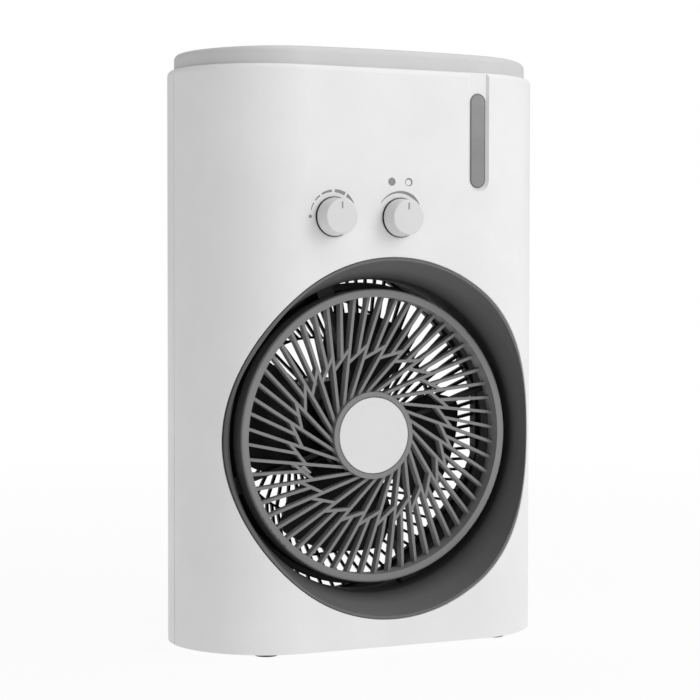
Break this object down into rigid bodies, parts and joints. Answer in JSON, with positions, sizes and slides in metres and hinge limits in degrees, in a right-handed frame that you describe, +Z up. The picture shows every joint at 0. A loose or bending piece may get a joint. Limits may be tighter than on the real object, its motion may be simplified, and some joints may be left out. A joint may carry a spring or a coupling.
{
  "type": "box fan",
  "caption": "Upright box fan with rounded ends, a round funnel and turning louvre grille low in front, two rotary knobs above it and a grey top cap.",
  "frame": {"origin": "on the ground under the middle of the whole object's width and depth, knobs included", "axes": "+Z up, -Y towards the front, +X to the right seen from the front"},
  "size_m": [0.26, 0.143, 0.3948],
  "materials": {
    "casing_plastic": "white, satin",
    "cap_plastic": "silver grey, satin",
    "funnel_plastic": "dark grey, satin",
    "duct_plastic": "black",
    "rear_grille_plastic": "charcoal",
    "carrier_plastic": "charcoal",
    "grille_plastic": "mid grey, satin",
    "hub_plastic": "light grey, satin",
    "blade_plastic": "black, satin",
    "nut_plastic": "black",
    "knob_plastic": "white, satin",
    "print_grey": "grey paint",
    "window_grey": "smoked grey",
    "switch_plastic": "black",
    "board_green": "green",
    "lamp_white": "milky",
    "capacitor_black": "black",
    "terminal_white": "off-white",
    "lead_sheath": "black sheath",
    "gland_rubber": "black",
    "ring_black": "black",
    "foot_rubber": "dark grey",
    "zinc_screw": "zinc plated",
    "black_screw": "blackened",
    "shaft_steel": "ground",
    "motor_can_steel": "plated",
    "lamination_steel": "varnished",
    "winding_copper": "enamelled copper",
    "bushing_bronze": "sintered",
    "bracket_aluminium": "cast"
  },
  "bodies": {
    "casing": {"front_shell": "casing_plastic", "rear_shell": "casing_plastic", "top_cap": "cap_plastic", "funnel_bezel": "funnel_plastic", "air_duct": "duct_plastic", "rear_grille": "rear_grille_plastic", "louvre_carrier": "carrier_plastic", "carrier_screws": "zinc_screw", "louvre_motor": "motor_can_steel", "louvre_motor_screws": "zinc_screw", "stator_core": "lamination_steel", "stator_windings": "winding_copper", "motor_front_bracket": "bracket_aluminium", "motor_rear_bracket": "bracket_aluminium", "front_bushing": "bushing_bronze", "rear_bushing": "bushing_bronze", "tie_bolts": "zinc_screw", "motor_screws": "black_screw", "motor_lead": "lead_sheath", "speed_knob_ring": "ring_black", "speed_switch": "switch_plastic", "speed_switch_nut": "zinc_screw", "louvre_knob_ring": "ring_black", "louvre_switch": "switch_plastic", "louvre_switch_nut": "zinc_screw", "indicator_window": "window_grey", "lamp_board": "board_green", "lamps": "lamp_white", "run_capacitor": "capacitor_black", "capacitor_strap": "bracket_aluminium", "terminal_block": "terminal_white", "terminal_screws": "zinc_screw", "cord_gland": "gland_rubber", "cord_clamp": "casing_plastic", "rubber_feet": "foot_rubber", "case_screws": "zinc_screw", "duct_screws": "zinc_screw", "cap_screws": "zinc_screw"},
    "fan": {"fan_blade": "blade_plastic", "blade_nut": "nut_plastic", "motor_shaft": "shaft_steel", "drive_pin": "shaft_steel", "rotor_core": "lamination_steel"},
    "grille": {"rotating_grille": "grille_plastic", "hub_cap": "hub_plastic", "louvre_shaft": "shaft_steel", "hub_screw": "zinc_screw"},
    "speed_control": {"speed_knob": "knob_plastic", "speed_pointer": "print_grey", "speed_switch_shaft": "shaft_steel"},
    "louvre_control": {"louvre_knob": "knob_plastic", "louvre_pointer": "print_grey", "louvre_switch_shaft": "shaft_steel"}
  },
  "joints": [
    {"name": "fan_spin", "type": "hinge", "parent": "casing", "child": "fan", "pos_m": [0, 0.0064, 0.1394], "axis": [0, -1, 0], "continuous": true},
    {"name": "grille_spin", "type": "hinge", "parent": "casing", "child": "grille", "pos_m": [0, -0.025, 0.1394], "axis": [0, -1, 0], "continuous": true},
    {"name": "speed_knob_turn", "type": "hinge", "parent": "casing", "child": "speed_control", "pos_m": [-0.0447, -0.06, 0.2845], "axis": [0, -1, 0], "range_deg": [-75, 90]},
    {"name": "louvre_knob_turn", "type": "hinge", "parent": "casing", "child": "louvre_control", "pos_m": [0.0033, -0.06, 0.2845], "axis": [0, -1, 0], "range_deg": [-45, 45]}
  ]
}
